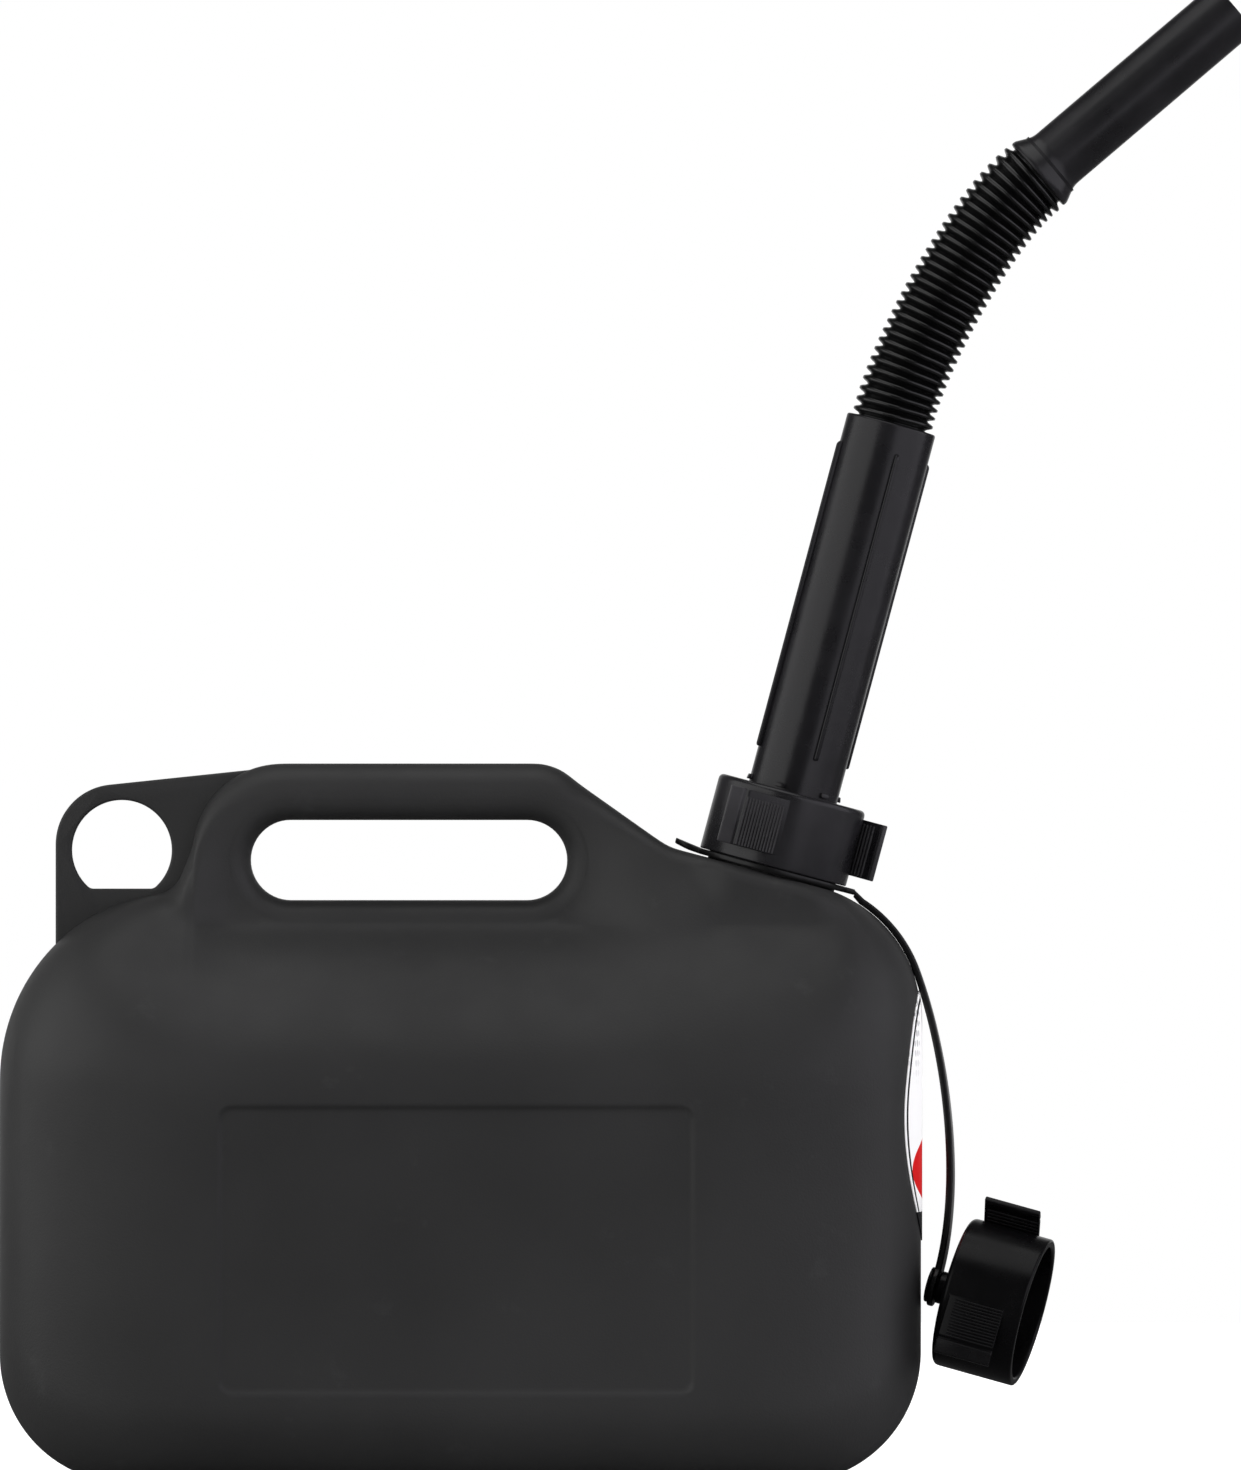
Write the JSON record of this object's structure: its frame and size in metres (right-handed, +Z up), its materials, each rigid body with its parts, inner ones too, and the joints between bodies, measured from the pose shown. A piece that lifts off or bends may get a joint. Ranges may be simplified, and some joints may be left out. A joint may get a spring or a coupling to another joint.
{
  "type": "fuel can",
  "caption": "Hollow moulded fuel can with a through handle, a tilted screw neck, a flexible pouring spout under a winged collar and a tethered winged cap.",
  "frame": {"origin": "centre of the can's flat base, on the surface that it stands on", "axes": "+X along the can towards the neck end, +Y across the can, +Z up"},
  "size_m": [0.4223, 0.128, 0.503],
  "materials": {
    "can_plastic": "blow-moulded black HDPE, fine matt grain",
    "tube_plastic": "satin black injection-moulded plastic",
    "cap_plastic": "satin black injection-moulded plastic",
    "hose_plastic": "soft black ribbed plastic",
    "tether_plastic": "flexible black plastic",
    "label": "smooth printed film, blank of text",
    "seal_rubber": "fuel-proof sealing rubber",
    "liner_foam": "pale sealing foam"
  },
  "bodies": {
    "can": {"can_body": "can_plastic", "front_label": "label", "strap_neck_ring": "tether_plastic"},
    "spout_seat": {"spout_gasket": "seal_rubber"},
    "collar": {"spout_collar": "cap_plastic"},
    "spout": {"spout_tube": "tube_plastic", "flex_hose": "hose_plastic"},
    "nozzle": {"spout_nozzle": "tube_plastic"},
    "strap": {"tether_strap": "tether_plastic"},
    "cap": {"screw_cap": "cap_plastic", "cap_liner": "liner_foam"}
  },
  "joints": [
    {"name": "spout_lift", "type": "slide", "parent": "can", "child": "spout_seat", "axis": [0.2588, 0, 0.9659], "range_m": [0, 0.008]},
    {"name": "collar_turn", "type": "hinge", "parent": "spout_seat", "child": "collar", "pos_m": [0.1045, 0, 0.2031], "axis": [0.2588, 0, 0.9659], "range_deg": [0, 721]},
    {"name": "spout_swivel", "type": "hinge", "parent": "spout_seat", "child": "spout", "pos_m": [0.1045, 0, 0.2031], "axis": [0.2588, 0, 0.9659], "continuous": true},
    {"name": "nozzle_bend", "type": "hinge", "parent": "spout", "child": "nozzle", "pos_m": [0.15973, 0, 0.40923], "axis": [0, 1, 0], "range_deg": [-34.6, 40], "deforming": ["flex_hose"]},
    {"name": "strap_swing", "type": "hinge", "parent": "can", "child": "strap", "pos_m": [0.13289, 0, 0.19777], "axis": [0, -1, 0], "range_deg": [0, 60]},
    {"name": "cap_swivel", "type": "hinge", "parent": "strap", "child": "cap", "pos_m": [0.166, 0, 0.063], "axis": [-0.9499, 0.1736, 0.2599], "continuous": true}
  ],
  "couplings": [
    {"joint": "collar_turn", "follows": "spout_lift", "rad_per_m": 1570.8}
  ]
}
